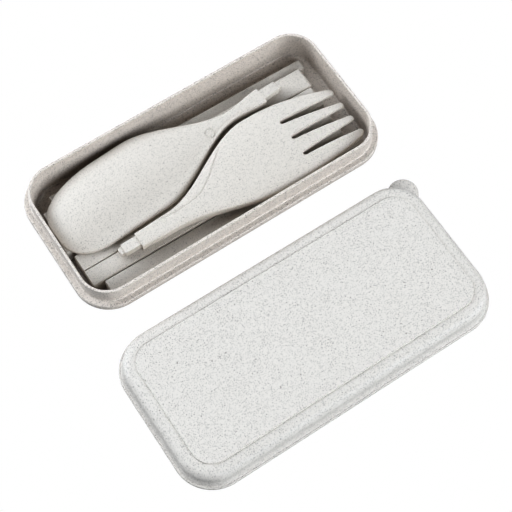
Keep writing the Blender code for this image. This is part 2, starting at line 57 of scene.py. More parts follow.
# %% Camera
VIEW_TARGET = Vector((0.00047, -0.00117, 0.0))
VIEW_HEADING = math.radians(-33.0)
VIEW_HEIGHT = math.radians(66.355)
VIEW_ROLL = math.radians(-0.334)
VIEW_DISTANCE = 0.4901
LENS = 94.27

back = Vector((math.sin(VIEW_HEADING) * math.cos(VIEW_HEIGHT),
               -math.cos(VIEW_HEADING) * math.cos(VIEW_HEIGHT), math.sin(VIEW_HEIGHT)))
camera_data = bpy.data.cameras.new("camera")
camera_data.lens = LENS
camera_data.sensor_width = 36.0
camera_data.clip_start = 0.01
camera = bpy.data.objects.new("camera", camera_data)
bpy.context.scene.collection.objects.link(camera)
camera.location = VIEW_TARGET + back * VIEW_DISTANCE
turn = (-back).to_track_quat("-Z", "Y").to_matrix() @ Matrix.Rotation(VIEW_ROLL, 3, "Z")
camera.rotation_euler = turn.to_euler()
bpy.context.scene.camera = camera
print("camera at", [round(v, 3) for v in camera.location])

# %% [markdown]
# ## Light
# Soft lamps stand around the pack, mostly low. Level tops are lit from all sides then, while deep gaps
# stay dark, because their walls hide the lamps. The two strongest lamps stand at the near right and the
# far left, and one higher lamp on the far side reaches the bars behind the near wall. The world gives no
# light and is only seen as white. A little contrast is added to the picture.

# %% Light
LAMP_DISTANCE = 1.5
LAMP_SIZE = 0.9
LAMP_COLOUR = (0.905, 0.985, 1.085)
# Heading in degrees from the near side, anticlockwise from above, then height in degrees and power
LAMPS = ((0, 25, 5.2), (0, 40, 12.6), (45, 26, 19.4), (135, 31, 6.2), (180, 12, 3.6), (180, 25, 5.6),
         (190, 56, 6.6), (225, 12, 6.4), (225, 25, 19.2), (270, 12, 2.2))
CONTRAST = 1.45

bpy.context.scene.view_settings.view_transform = "Standard"
bpy.context.scene.view_settings.gamma = 1.0 / CONTRAST
world = bpy.data.worlds.new("white_backdrop")
world.use_nodes = True
backdrop = world.node_tree.nodes["Background"]
backdrop.inputs["Color"].default_value = (1.0, 1.0, 1.0, 1.0)
sight = world.node_tree.nodes.new("ShaderNodeLightPath")
world.node_tree.links.new(sight.outputs["Is Camera Ray"], backdrop.inputs["Strength"])
bpy.context.scene.world = world
for heading, height, power in LAMPS:
    turn, rise = math.radians(heading), math.radians(height)
    away = Vector((math.sin(turn) * math.cos(rise), -math.cos(turn) * math.cos(rise), math.sin(rise)))
    lamp_data = bpy.data.lights.new(f"lamp_{heading}_{height}", "AREA")
    lamp_data.shape = "DISK"
    lamp_data.size = LAMP_SIZE
    lamp_data.energy = power
    lamp_data.color = LAMP_COLOUR
    lamp = bpy.data.objects.new(lamp_data.name, lamp_data)
    bpy.context.scene.collection.objects.link(lamp)
    lamp.location = away * LAMP_DISTANCE
    lamp.rotation_euler = (-away).to_track_quat("-Z", "Y").to_euler()
print(len(LAMPS), "lamps around the table")

# %% [markdown]
# ## Node helpers
# Materials and Geometry Nodes trees are both built from nodes. Three functions keep them short: one
# starts a material, one adds a node with its values, and one joins two sockets.

# %% Node helpers
def new_material(name):
    """A node material, its node tree and its main shader."""
    material = bpy.data.materials.new(name)
    material.use_nodes = True
    return material, material.node_tree, material.node_tree.nodes["Principled BSDF"]


def add_node(tree, kind, **values):
    """A node with its inputs set by name and its settings set by attribute."""
    made = tree.nodes.new(kind)
    for key, value in values.items():
        if key in made.inputs:
            made.inputs[key].default_value = value
        else:
            setattr(made, key, value)
    return made


def link(tree, source, target):
    """Join an output to an input."""
    tree.links.new(source, target)


# %% [markdown]
# ## White sheet
# The pack lies on a matt white sheet. The sheet throws only a little light back up at the pack, so it is
# grey to every ray but the camera's own, which sees it as pure white.

# %% White sheet
SHEET_TONE = 0.28
SHEET_SIZE = 3.0
SHEET_DROP = 0.0002

floor_mesh = bmesh.new()
bmesh.ops.create_grid(floor_mesh, x_segments=1, y_segments=1, size=SHEET_SIZE)
floor_data = bpy.data.meshes.new("floor")
floor_mesh.to_mesh(floor_data)
floor_mesh.free()
floor = bpy.data.objects.new("floor", floor_data)
floor.location.z = -SHEET_DROP
bpy.context.scene.collection.objects.link(floor)
floor_material, floor_tree, floor_shader = new_material("white_sheet")
floor_shader.inputs["Base Color"].default_value = (SHEET_TONE, SHEET_TONE, SHEET_TONE, 1.0)
floor_shader.inputs["Roughness"].default_value = 0.9
seen = add_node(floor_tree, "ShaderNodeEmission")
ray = add_node(floor_tree, "ShaderNodeLightPath")
sheet = add_node(floor_tree, "ShaderNodeMixShader")
link(floor_tree, ray.outputs["Is Camera Ray"], sheet.inputs["Fac"])
link(floor_tree, floor_shader.outputs["BSDF"], sheet.inputs[1])
link(floor_tree, seen.outputs["Emission"], sheet.inputs[2])
link(floor_tree, sheet.outputs["Shader"], floor_tree.nodes["Material Output"].inputs["Surface"])
floor_data.materials.append(floor_material)
print("sheet laid under the pack")

# %% [markdown]
# ## Flecks
# The plastic is filled with chopped plant fibre, which shows as small dark flecks of several sizes. A
# Voronoi texture fills space with cells. The middle of a cell becomes a fleck, and the cell's random
# colour decides whether it shows. A picture of flecks would stretch over the curved pieces, while a
# texture in space fits them all.

# %% Flecks
FLECK_COLOUR = (0.11, 0.09, 0.075, 1.0)
FLECK_CORE = 0.65
# Cells to a metre, the fleck's radius, the share of cells with a fleck, and the share of its strength
FINE_FLECKS = ((2800.0, 0.34, 0.62, 0.8), (1900.0, 0.28, 0.42, 1.0))
COARSE_FLECKS = ((1050.0, 0.19, 0.28, 1.0), (360.0, 0.10, 0.34, 1.0))


def add_flecks(tree, place, colour, scale, radius, share, dark):
    """Lay flecks of one size over a colour, and return the new colour."""
    cells = add_node(tree, "ShaderNodeTexVoronoi", Scale=scale)
    link(tree, place, cells.inputs["Vector"])
    spot = add_node(tree, "ShaderNodeMapRange", **{"From Min": radius, "From Max": radius * FLECK_CORE})
    link(tree, cells.outputs["Distance"], spot.inputs["Value"])
    split = add_node(tree, "ShaderNodeSeparateColor")
    link(tree, cells.outputs["Color"], split.inputs["Color"])
    chosen = add_node(tree, "ShaderNodeMath", operation="LESS_THAN")
    chosen.inputs[1].default_value = share
    link(tree, split.outputs["Red"], chosen.inputs[0])
    amount = add_node(tree, "ShaderNodeMath", operation="MULTIPLY")
    link(tree, spot.outputs["Result"], amount.inputs[0])
    link(tree, chosen.outputs["Value"], amount.inputs[1])
    depth = add_node(tree, "ShaderNodeMath", operation="MULTIPLY")
    depth.inputs[1].default_value = dark
    link(tree, amount.outputs["Value"], depth.inputs[0])
    fleck = add_node(tree, "ShaderNodeMix", data_type="RGBA", B=FLECK_COLOUR)
    link(tree, depth.outputs["Value"], fleck.inputs["Factor"])
    link(tree, colour, fleck.inputs["A"])
    return fleck.outputs["Result"]


print(len(FINE_FLECKS + COARSE_FLECKS), "sizes of fleck")

# %% [markdown]
# ## Speckled plastic
# The body is a warm off-white that is slightly uneven. Before the flecks are laid on, a fine noise moves
# the places they are worked out from, which tears their round edges. The surface is matt, with a grain
# too fine to see by itself. The cutlery, the tray and the lid are each a little different in tone.

# %% Speckled plastic
TONE_LOW = 0.95
TONE_HIGH = 1.08
TEAR_LENGTH = 0.0006
SMOOTHEST = 0.46
ROUGHEST = 0.62
GRAIN_DEPTH = 0.00004


def uneven_body(tree, place, body):
    """The body's colour, a little lighter and darker from place to place."""
    tone = add_node(tree, "ShaderNodeTexNoise", Scale=700.0, Detail=5.0, Roughness=0.7)
    link(tree, place, tone.inputs["Vector"])
    ground = add_node(tree, "ShaderNodeMix", data_type="RGBA", A=(*[v * TONE_LOW for v in body], 1.0),
                      B=(*[v * TONE_HIGH for v in body], 1.0))
    link(tree, tone.outputs["Fac"], ground.inputs["Factor"])
    return ground.outputs["Result"]


def torn_place(tree, place):
    """Places moved by a fine noise."""
    ragged = add_node(tree, "ShaderNodeTexNoise", Scale=1500.0, Detail=2.0)
    link(tree, place, ragged.inputs["Vector"])
    swing = add_node(tree, "ShaderNodeVectorMath", operation="SCALE", Scale=TEAR_LENGTH)
    link(tree, ragged.outputs["Color"], swing.inputs["Vector"])
    torn = add_node(tree, "ShaderNodeVectorMath", operation="ADD")
    link(tree, place, torn.inputs[0])
    link(tree, swing.outputs["Vector"], torn.inputs[1])
    return torn.outputs["Vector"]


def add_matt_grain(tree, place, shader):
    """Uneven roughness and a fine grain."""
    rough = add_node(tree, "ShaderNodeTexNoise", Scale=900.0, Detail=2.0)
    link(tree, place, rough.inputs["Vector"])
    spread = add_node(tree, "ShaderNodeMapRange", **{"To Min": SMOOTHEST, "To Max": ROUGHEST})
    link(tree, rough.outputs["Fac"], spread.inputs["Value"])
    link(tree, spread.outputs["Result"], shader.inputs["Roughness"])
    relief = add_node(tree, "ShaderNodeBump", Strength=0.15, Distance=GRAIN_DEPTH)
    link(tree, rough.outputs["Fac"], relief.inputs["Height"])
    link(tree, relief.outputs["Normal"], shader.inputs["Normal"])


def speckled(name, body, fine, coarse, size=1.0):
    """Matt off-white plastic: how dark its fine and its coarse flecks are, and how large all of them."""
    material, tree, shader = new_material(name)
    place = add_node(tree, "ShaderNodeTexCoord").outputs["Object"]
    colour = uneven_body(tree, place, body)
    torn = torn_place(tree, place)
    for layers, strength in ((FINE_FLECKS, fine), (COARSE_FLECKS, coarse)):
        for scale, radius, share, weight in layers:
            colour = add_flecks(tree, torn, colour, scale, radius * size, share, weight * strength)
    link(tree, colour, shader.inputs["Base Color"])
    add_matt_grain(tree, place, shader)
    return material


cutlery_plastic = speckled("cutlery_plastic", (0.540, 0.488, 0.427), 0.65, 0.60)
tray_plastic = speckled("tray_plastic", (0.575, 0.510, 0.446), 0.90, 1.00, 1.15)
lid_plastic = speckled("lid_plastic", (0.562, 0.514, 0.458), 0.90, 0.75)
print("plastics made:", cutlery_plastic.name, tray_plastic.name, lid_plastic.name)

# %% [markdown]
# ## Curves and rings
# The lid and both heads are stacks of rings. A ring is one section of the piece, and the skin is stretched
# from each ring to the next. Widths and heights ease from one value to another, and round stretches are
# arcs, so each outline comes from a few sizes that a mould maker would write down.

# %% Curves and rings
def smooth_step(share):
    """Ease from 0 to 1 with level ends."""
    share = min(1.0, max(0.0, share))
    return share * share * (3.0 - 2.0 * share)


def ease(start, end, low, high, place):
    """Ease a value from low to high while place goes from start to end."""
    return low + (high - low) * smooth_step((place - start) / (end - start))


def arc(centre, radius, start, end, steps):
    """Points of an arc from the start angle to the end angle in degrees."""
    angles = [math.radians(start + (end - start) * step / steps) for step in range(steps + 1)]
    return [(centre[0] + radius * math.cos(a), centre[1] + radius * math.sin(a)) for a in angles]


def rounded_rectangle(length, width, radius, steps):
    """Outline of a rectangle with round corners, anticlockwise from the right far corner."""
    points = []
    for corner, (side_x, side_y) in enumerate(((1, 1), (-1, 1), (-1, -1), (1, -1))):
        centre = (side_x * (length / 2 - radius), side_y * (width / 2 - radius))
        points += arc(centre, radius, 90 * corner, 90 * (corner + 1), steps - 1)
    return points


def loft(rings):
    """A closed skin through rings of points."""
    mesh = bmesh.new()
    rows = [[mesh.verts.new(point) for point in ring] for ring in rings]
    count = len(rings[0])
    for row, following in zip(rows, rows[1:]):
        for index in range(count):
            after = (index + 1) % count
            mesh.faces.new((row[index], row[after], following[after], following[index]))
    mesh.faces.new(list(reversed(rows[0])))
    mesh.faces.new(rows[-1])
    bmesh.ops.recalc_face_normals(mesh, faces=mesh.faces)
    return mesh


# %% [markdown]
# ## Handing a piece over
# A finished skin takes the place of a plain solid. It is moved as a mesh, so its object stays unturned at
# the world's origin. Its faces are shaded smooth, and only edges sharper than a set angle stay crisp.

# %% Handing a piece over
def hand_over(name, mesh, material, node, place, turn, sharp):
    """Turn a skin into a finished piece that stands for a node of the solid model."""
    move = Matrix.Translation(place) @ Matrix.Rotation(turn, 4, "Z")
    bmesh.ops.transform(mesh, matrix=move, verts=mesh.verts)
    data = bpy.data.meshes.new(name)
    mesh.to_mesh(data)
    mesh.free()
    data.shade_smooth()
    data.set_sharp_from_angle(angle=math.radians(sharp))
    data.materials.append(material)
    piece = bpy.data.objects.new(name, data)
    bpy.context.scene.collection.objects.link(piece)
    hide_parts(node)
    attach(piece, "root")
    print(name, "has", len(data.polygons), "faces")


def middle_of(node):
    """Middle of a node's box in the plan view."""
    low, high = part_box(node)
    return Vector(((low[0] + high[0]) / 2, (low[1] + high[1]) / 2, 0.0))


TRAY_PLACE = middle_of("tray")
BOX_SHARP = 50.0
print("tray's middle", [round(v, 5) for v in TRAY_PLACE])

# %% [markdown]
# ## Tray wall
# The tray is one thin moulding. Its wall rises from a flat floor, steps in at a ledge where the lid's
# edge lands, and ends in a rim with a narrow flat crown. The same wall goes all the way round, so its
# profile is drawn once, from the underside over the rim to the floor.

# %% Tray wall
INNER_LENGTH = 0.1208
INNER_WIDTH = 0.0541
TRAY_WALL = 0.0011
WALL_DRAFT = 0.0003
TRAY_FLOOR = 0.0014
TRAY_HEIGHT = 0.0150
FLOOR_FILLET = 0.0008
FOOT_RADIUS = 0.0025
UPPER_WALL = 0.0075
LEDGE_OUTSET = 0.0025
LIP_HEIGHT = 0.0026
SOFT_EDGE = 0.0003
RIM_EDGE = 0.00028
LEVEL_STRETCH = 0.001


def tray_profile():
    """Wall from the underside, over the rim, to the floor: inset from the rim's line, and height."""
    ledge = TRAY_HEIGHT - UPPER_WALL
    lip_foot = ledge - LIP_HEIGHT
    inner = TRAY_WALL + WALL_DRAFT
    points = [(WALL_DRAFT + FOOT_RADIUS + LEVEL_STRETCH, 0.0)]
    points += arc((WALL_DRAFT + FOOT_RADIUS, FOOT_RADIUS), FOOT_RADIUS, 270, 180, 10)
    points += [(WALL_DRAFT, lip_foot - SOFT_EDGE), (WALL_DRAFT - SOFT_EDGE, lip_foot)]
    points += arc((-LEDGE_OUTSET + SOFT_EDGE, lip_foot + SOFT_EDGE), SOFT_EDGE, 270, 180, 4)
    points += arc((-LEDGE_OUTSET + 2 * SOFT_EDGE, ledge - 2 * SOFT_EDGE), 2 * SOFT_EDGE, 180, 90, 6)
    points += arc((-2 * SOFT_EDGE, ledge + 2 * SOFT_EDGE), 2 * SOFT_EDGE, 270, 360, 5)
    points += arc((RIM_EDGE, TRAY_HEIGHT - RIM_EDGE), RIM_EDGE, 180, 90, 5)
    points += arc((TRAY_WALL - RIM_EDGE, TRAY_HEIGHT - RIM_EDGE), RIM_EDGE, 90, 0, 5)
    points += arc((inner + FLOOR_FILLET, TRAY_FLOOR + FLOOR_FILLET), FLOOR_FILLET, 180, 270, 8)
    return points + [(inner + FLOOR_FILLET + LEVEL_STRETCH, TRAY_FLOOR)]


profile_points = tray_profile()
print("wall profile has", len(profile_points), "points")

# %% [markdown]
# ## Sweeping the wall
# Geometry Nodes can carry a profile along a path. The path is a rectangle whose corners are rounded, and
# the tree's inputs are its length, its width and its corner radius, so one tree fits any box of this kind.

# %% Sweeping the wall
def new_tree(name, sockets):
    """An empty Geometry Nodes tree for a modifier, with its inputs and one output."""
    tree = bpy.data.node_groups.new(name, "GeometryNodeTree")
    tree.is_modifier = True
    for label, kind in sockets:
        tree.interface.new_socket(label, in_out="INPUT", socket_type="NodeSocket" + kind)
    tree.interface.new_socket("Geometry", in_out="OUTPUT", socket_type="NodeSocketGeometry")
    return tree, add_node(tree, "NodeGroupInput").outputs


def finish_tree(tree, geometry, material):
    """Make the geometry real, give it its material and send it out."""
    whole = add_node(tree, "GeometryNodeRealizeInstances")
    finish = add_node(tree, "GeometryNodeSetMaterial")
    result = add_node(tree, "NodeGroupOutput")
    link(tree, geometry, whole.inputs["Geometry"])
    link(tree, whole.outputs["Geometry"], finish.inputs["Geometry"])
    link(tree, material, finish.inputs["Material"])
    link(tree, finish.outputs["Geometry"], result.inputs["Geometry"])


def sweep_tree():
    """Node tree that sweeps a profile along a rectangle with round corners."""
    tree, given = new_tree("sweep_round_rectangle", (
        ("Length", "Float"), ("Width", "Float"), ("Corner Radius", "Float"), ("Corner Steps", "Int"),
        ("Profile", "Object"), ("Material", "Material")))
    path = add_node(tree, "GeometryNodeCurvePrimitiveQuadrilateral")
    corners = add_node(tree, "GeometryNodeFilletCurve", mode="POLY")
    profile = add_node(tree, "GeometryNodeObjectInfo")
    sweep = add_node(tree, "GeometryNodeCurveToMesh")
    link(tree, given["Length"], path.inputs["Width"])
    link(tree, given["Width"], path.inputs["Height"])
    link(tree, path.outputs["Curve"], corners.inputs["Curve"])
    link(tree, given["Corner Radius"], corners.inputs["Radius"])
    link(tree, given["Corner Steps"], corners.inputs["Count"])
    link(tree, corners.outputs["Curve"], sweep.inputs["Curve"])
    link(tree, given["Profile"], profile.inputs["Object"])
    link(tree, profile.outputs["Geometry"], sweep.inputs["Profile Curve"])
    finish_tree(tree, sweep.outputs["Mesh"], given["Material"])
    return tree


def mesh_of(holder):
    """The mesh that an object's modifiers make; the object is removed."""
    made = bpy.data.meshes.new_from_object(holder.evaluated_get(bpy.context.evaluated_depsgraph_get()))
    bpy.data.objects.remove(holder, do_unlink=True)
    mesh = bmesh.new()
    mesh.from_mesh(made)
    bpy.data.meshes.remove(made)
    return mesh


def apply_tree(tree, values):
    """Run a node tree with its inputs set by name, and return the plain mesh it makes."""
    holder = bpy.data.objects.new(tree.name, bpy.data.meshes.new(tree.name))
    bpy.context.scene.collection.objects.link(holder)
    modifier = holder.modifiers.new(tree.name, "NODES")
    modifier.node_group = tree
    for item in tree.interface.items_tree:
        if item.in_out == "INPUT" and item.name in values:
            modifier[item.identifier] = values[item.name]
    return mesh_of(holder)


BOX_TREE = sweep_tree()
print(BOX_TREE.name, "has", len(BOX_TREE.nodes), "nodes")

# %% [markdown]
# ## Tray
# The swept wall is open in the middle, above and below. A flat face fills each hole: the upper one is the
# tray's floor and the lower one its underside.

# %% Tray
TRAY_CORNER_RADIUS = 0.0115
CORNER_STEPS = 24
RIM_LENGTH = INNER_LENGTH + 2 * (TRAY_WALL + WALL_DRAFT)
RIM_WIDTH = INNER_WIDTH + 2 * (TRAY_WALL + WALL_DRAFT)


def add_line(name, points):
    """A curve object with one straight-sided line through points, each with a place and a radius."""
    curve = bpy.data.curves.new(name, "CURVE")
    curve.dimensions = "3D"
    line = curve.splines.new("POLY")
    line.points.add(len(points) - 1)
    for point, (place, radius) in zip(line.points, points):
        point.co = (*place, 1.0)
        point.radius = radius
    line_object = bpy.data.objects.new(name, curve)
    bpy.context.scene.collection.objects.link(line_object)
    return line_object


wall_line = add_line("wall_profile", [((-inset, -height, 0.0), 1.0) for inset, height in profile_points])
tray_mesh = apply_tree(BOX_TREE, {"Length": RIM_LENGTH, "Width": RIM_WIDTH,
                                  "Corner Radius": TRAY_CORNER_RADIUS, "Corner Steps": CORNER_STEPS,
                                  "Profile": wall_line})
bpy.data.objects.remove(wall_line, do_unlink=True)
bmesh.ops.holes_fill(tray_mesh, edges=[edge for edge in tray_mesh.edges if edge.is_boundary])
bmesh.ops.recalc_face_normals(tray_mesh, faces=tray_mesh.faces)
hand_over("tray_moulding", tray_mesh, tray_plastic, "tray", TRAY_PLACE, 0.0, BOX_SHARP)

# %% [markdown]
# ## Lift tab
# One corner of the lid's flange is drawn out into a round tab for the thumb. Its outline is made of arcs
# that touch: the corner's own arc, a small hollow arc on each side, and the tab's large round. Where two
# arcs touch follows from the three sides of the triangle between their centres.

# %% Lift tab
LID_CLEARANCE = 0.0003
LID_WALL = 0.0013
FLANGE_OUTSET = 0.0016
TAB_RADIUS = 0.0057
TAB_OUTSET = 0.0053
TAB_TURN = math.radians(39.0)
TAB_BLEND = 0.0040
SKIRT = LID_CLEARANCE + LID_WALL + FLANGE_OUTSET
LID_LENGTH = RIM_LENGTH + 2 * SKIRT
LID_WIDTH = RIM_WIDTH + 2 * SKIRT
LID_CORNER_RADIUS = TRAY_CORNER_RADIUS + SKIRT


def tab_corner(inset):
    """Flange's edge round the corner with the tab, anticlockwise about the corner's centre."""
    reach = LID_CORNER_RADIUS - TAB_RADIUS + TAB_OUTSET
    outer = LID_CORNER_RADIUS + TAB_BLEND
    near = TAB_RADIUS + TAB_BLEND
    along = (outer ** 2 - near ** 2 + reach ** 2) / (2 * reach)
    across = math.sqrt(outer ** 2 - along ** 2)
    spread = math.degrees(math.atan2(across, along))
    lean = math.degrees(math.atan2(across, reach - along))
    corner = LID_CORNER_RADIUS - inset
    low = arc((0.0, 0.0), corner, -math.degrees(TAB_TURN), -spread, 5)[:-1]
    blend = arc((along, -across), TAB_BLEND + inset, 180 - spread, lean, 10)
    ear = arc((reach, 0.0), TAB_RADIUS - inset, -(180 - lean), 180 - lean, 32)[1:-1]
    rise = [(x, -y) for x, y in reversed(blend)]
    high = arc((0.0, 0.0), corner, spread, 90 - math.degrees(TAB_TURN), 8)[1:]
    turn = Matrix.Rotation(TAB_TURN, 2)
    return [turn @ Vector(point) for point in low + blend + ear + rise + high]


def lid_rings(profile, tabbed):
    """Rings of the lid, with the tab drawn out only where it is asked for."""
    headings = [point.normalized() for point in tab_corner(0.0)]
    rings = []
    for inset, height in profile:
        length = LID_LENGTH - 2 * inset
        width = LID_WIDTH - 2 * inset
        radius = LID_CORNER_RADIUS - inset
        centre = Vector((length / 2 - radius, width / 2 - radius))
        corner = tab_corner(inset) if tabbed else [heading * radius for heading in headings]
        outline = [tuple(centre + point) for point in corner]
        outline += rounded_rectangle(length, width, radius, CORNER_STEPS)[CORNER_STEPS:]
        rings.append([(x, y, height) for x, y in outline])
    return rings


print("lid is", round(LID_LENGTH, 4), "by", round(LID_WIDTH, 4))

# %% [markdown]
# ## Lid
# The lid is a shallow cap. Its profile runs from the raised panel down into a fine groove, over a band
# that falls slightly, round the shoulder and down the skirt, which flares to a thin flange. The skin then
# turns under the flange's edge and comes back inside, up to the panel's underside. The groove draws the
# panel's outline: a plain slope would hardly be seen.

# %% Lid
LID_TOP = 0.0012
FLANGE_THICKNESS = 0.0014
FLANGE_EDGE = 0.0005
FLARE_HEIGHT = 0.0036
SHOULDER_RADIUS = 0.0030
BAND_FALL = 0.0003
LID_INNER_FILLET = 0.0012
LID_INNER_HEIGHT = 0.0079
PANEL_INSET = 0.0067
PANEL_RISE = 0.0004
PANEL_EDGE = 0.00020
PANEL_STRETCH = 0.003
GROOVE_WIDTH = 0.00044
GROOVE_DEPTH = 0.00010
GROOVE_LEAN = 5
SHOULDER_START = 98

lid_top = LID_INNER_HEIGHT + LID_TOP
lid_inner = FLANGE_OUTSET + LID_WALL
panel_edge = PANEL_INSET + PANEL_RISE
outside = [(panel_edge + PANEL_STRETCH, lid_top + PANEL_RISE)]
outside += arc((PANEL_INSET + PANEL_EDGE, lid_top + PANEL_RISE - PANEL_EDGE), PANEL_EDGE, 90,
               180 - GROOVE_LEAN, 6)
outside += arc((PANEL_INSET - GROOVE_WIDTH / 2, lid_top + GROOVE_WIDTH / 2 - GROOVE_DEPTH),
               GROOVE_WIDTH / 2, -GROOVE_LEAN, -90, 6)
outside += [(PANEL_INSET - 2 * GROOVE_WIDTH, lid_top)]
outside += arc((FLANGE_OUTSET + SHOULDER_RADIUS, lid_top - BAND_FALL - SHOULDER_RADIUS), SHOULDER_RADIUS,
               SHOULDER_START, 180, 18)
outside += [(FLANGE_OUTSET, FLARE_HEIGHT), (FLANGE_OUTSET - SOFT_EDGE / 4, FLARE_HEIGHT - SOFT_EDGE),
            (FLANGE_EDGE + SOFT_EDGE, FLANGE_THICKNESS + SOFT_EDGE / 2),
            (FLANGE_EDGE + SOFT_EDGE / 2, FLANGE_THICKNESS)]
edge = arc((FLANGE_EDGE, FLANGE_THICKNESS - FLANGE_EDGE), FLANGE_EDGE, 90, 180, 8)
edge += arc((SOFT_EDGE, SOFT_EDGE), SOFT_EDGE, 180, 270, 3)
inside = [(lid_inner - SOFT_EDGE, 0.0), (lid_inner, SOFT_EDGE)]
inside += arc((lid_inner + LID_INNER_FILLET, LID_INNER_HEIGHT - LID_INNER_FILLET), LID_INNER_FILLET,
              180, 90, 8)
inside += [(PANEL_INSET, LID_INNER_HEIGHT), (panel_edge, LID_INNER_HEIGHT + PANEL_RISE),
           (panel_edge + LEVEL_STRETCH, LID_INNER_HEIGHT + PANEL_RISE)]
lid_mesh = loft(lid_rings(outside, False) + lid_rings(edge, True) + lid_rings(inside, False))
lid_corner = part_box("lid")[0]
LID_PLACE = Vector((lid_corner[0] + LID_LENGTH / 2, lid_corner[1] + LID_WIDTH / 2, 0.0))
hand_over("lid_moulding", lid_mesh, lid_plastic, "lid", LID_PLACE, 0.0, BOX_SHARP)

# %% [markdown]
# ## Joining and softening skins
# A mould rounds every edge of a thick piece a little. Here a skin is remeshed into small even faces and
# smoothed, which does the same for any shape at once. What has to stay crisp is made afterwards: the
# plugs that fit the handles, and the flat ends of the collars.

# %% Joining and softening skins
def hold(mesh, name):
    """An object with a skin as its mesh; the skin is freed."""
    data = bpy.data.meshes.new(name)
    mesh.to_mesh(data)
    mesh.free()
    holder = bpy.data.objects.new(name, data)
    bpy.context.scene.collection.objects.link(holder)
    return holder


def combine(mesh, other, operation):
    """Join one closed skin to another, or take it away."""
    body = hold(mesh, "first_skin")
    tool = hold(other, "second_skin")
    modifier = body.modifiers.new("combine", "BOOLEAN")
    modifier.operation = operation
    modifier.solver = "EXACT"
    modifier.object = tool
    result = mesh_of(body)
    bpy.data.objects.remove(tool, do_unlink=True)
    return result


def soften(mesh, voxel):
    """Remesh a closed skin into small even faces and smooth it, which rounds its edges."""
    holder = hold(mesh, "soften")
    grid = holder.modifiers.new("grid", "REMESH")
    grid.mode = "VOXEL"
    grid.voxel_size = voxel
    relax = holder.modifiers.new("relax", "SMOOTH")
    relax.factor = 0.5
    relax.iterations = 2
    return mesh_of(holder)


# %% [markdown]
# ## Collars and plugs
# The spoon and the fork both end in a collar, a square tenon that plugs into a handle, and a small nib.
# The plug is a stack of nearly square rings, rooted a little way inside the collar. The collar is made
# slightly too long at first and then cut off square, because the smoothing has rounded its end.

# %% Collars and plugs
HEAD_FLOOR = 0.0088
HEAD_RISE = 0.0061
HEAD_END = 0.0093
COLLAR_WIDTH = 0.0060
COLLAR_HEIGHT = 0.0039
COLLAR_SPARE = 0.0010
TENON_WIDTH = 0.0040
TENON_HEIGHT = 0.0032
NIB_WIDTH = 0.0028
NIB_HEIGHT = 0.0020
NIB_LENGTH = 0.0016
PLUG_CHAMFER = 0.00018
PLUG_ROOT = 0.0008
BLOCK_POWER = 6.0
CUTTER_REACH = 0.0100
SECTION_STEPS = 40
HEAD_SHARP = 55.0


def shares_across():
    """Places across a section from -1 to 1, closer together towards the edges."""
    return [-math.cos(math.pi * step / SECTION_STEPS) for step in range(SECTION_STEPS + 1)]


def section(centre, half, bottom_edge, bottom_crown, top_edge, top_crown, power):
    """Ring across a head: along the bottom and back over the top, each crowned between its edges."""
    ring = []
    shares = shares_across()
    for line, edge_height, crown_height in ((shares, bottom_edge, bottom_crown),
                                            (shares[::-1], top_edge, top_crown)):
        for share in line:
            crown = (1 - abs(share) ** power) ** (1 / power)
            ring.append((centre + half * share, edge_height + (crown_height - edge_height) * crown))
    return ring


def place_rings(places, ring_at):
    """Closed skin through the sections at places along a head."""
    return loft([[(x, y, z) for y, z in ring_at(x)] for x in places])


def plug(centre, start, direction, tenon_length):
    """Closed skin of the tenon and nib beyond a collar, rooted a little way inside it."""
    middle = HEAD_FLOOR + COLLAR_HEIGHT / 2
    tenon = (TENON_WIDTH / 2, TENON_HEIGHT / 2)
    nib = (NIB_WIDTH / 2, NIB_HEIGHT / 2)
    tenon_end = start + direction * tenon_length
    nib_end = tenon_end + direction * NIB_LENGTH
    chamfer = PLUG_CHAMFER
    rings = []
    for place, (half, rise), cut in ((start - direction * PLUG_ROOT, tenon, 0.0),
                                     (tenon_end - direction * chamfer, tenon, 0.0),
                                     (tenon_end, tenon, chamfer), (tenon_end, nib, 0.0),
                                     (nib_end - direction * chamfer, nib, 0.0), (nib_end, nib, chamfer)):
        low = middle - rise + cut
        high = middle + rise - cut
        ring = section(centre, half - cut, low + chamfer, low, high - chamfer, high, BLOCK_POWER)
        rings.append([(place, y, z) for y, z in ring])
    return loft(rings)


def trim_end(mesh, centre, first, last):
    """Cut a head off square between two places, which leaves its collar a sharp end."""
    near, far = centre - CUTTER_REACH, centre + CUTTER_REACH
    corners = ((near, 0.0), (far, 0.0), (far, 2 * CUTTER_REACH), (near, 2 * CUTTER_REACH))
    return combine(mesh, place_rings((first, last), lambda place: corners), "DIFFERENCE")


print("heads lie", HEAD_FLOOR, "m over the table and rise", HEAD_RISE)

# %% [markdown]
# ## Fine marks
# Moulds leave fine lines. Each one here is a shallow groove pressed into the softened skin: every vertex
# near the line is lowered, the nearer the deeper. A function for each mark says how far a place is from
# its line, so a ring and a curved line need only one way of pressing.

# %% Fine marks
GROOVE_HALF = 0.00046
LINE_FADE = 0.0030
UPWARD = 0.2


def press_groove(mesh, mark, depth):
    """Press a groove into the upper skin; mark gives the distance from its line and its strength."""
    for vert in mesh.verts:
        if vert.normal.z > UPWARD:
            distance, share = mark(vert.co.x, vert.co.y)
            if abs(distance) < GROOVE_HALF:
                vert.co.z -= depth * share * (1.0 - smooth_step(abs(distance) / GROOVE_HALF))


def follow(line, place):
    """Height of a line of points at a place along it, and how far the place is inside its ends."""
    for (start, low), (end, high) in zip(line, line[1:]):
        if place <= end:
            break
    share = min(max((place - start) / (end - start), 0.0), 1.0)
    inside = min(place - line[0][0], line[-1][0] - place)
    return low + (high - low) * share, smooth_step(inside / LINE_FADE)


# %% [markdown]
# ## Spoon section
# The spoon lies with its hollow down, so its domed back shows. Each section is a domed upper line over a
# hollow lower line. Towards the neck the hollow closes and the dome flattens, until the section is the
# nearly square one of the collar.

